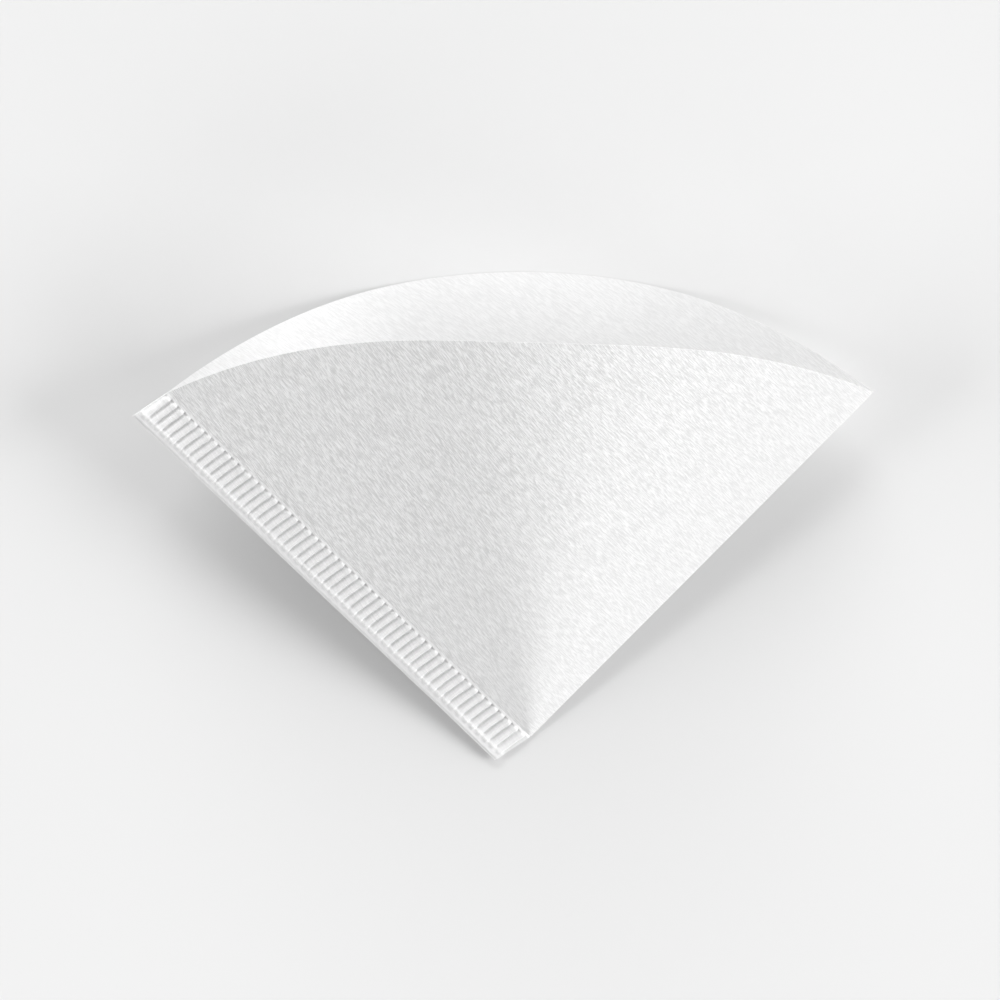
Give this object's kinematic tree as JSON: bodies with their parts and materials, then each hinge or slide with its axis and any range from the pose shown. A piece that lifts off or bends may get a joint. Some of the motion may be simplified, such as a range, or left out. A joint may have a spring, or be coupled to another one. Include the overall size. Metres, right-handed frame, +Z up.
{
  "type": "paper coffee filter",
  "caption": "White cone coffee filter of crepe paper, folded on one side and crimped shut along a seam tab on the other, lying opened on its back wall.",
  "frame": {"origin": "centre of the bounding box in plan, on the surface that the filter lies on", "axes": "+Z up from the surface it lies on, +Y from the tip to the open rim along the resting strip, +X from the crimped seam to the plain fold"},
  "size_m": [0.1734, 0.1164, 0.0431],
  "materials": {
    "paper": "matte"
  },
  "bodies": {
    "root": {"filter_paper": "paper"}
  },
  "joints": []
}
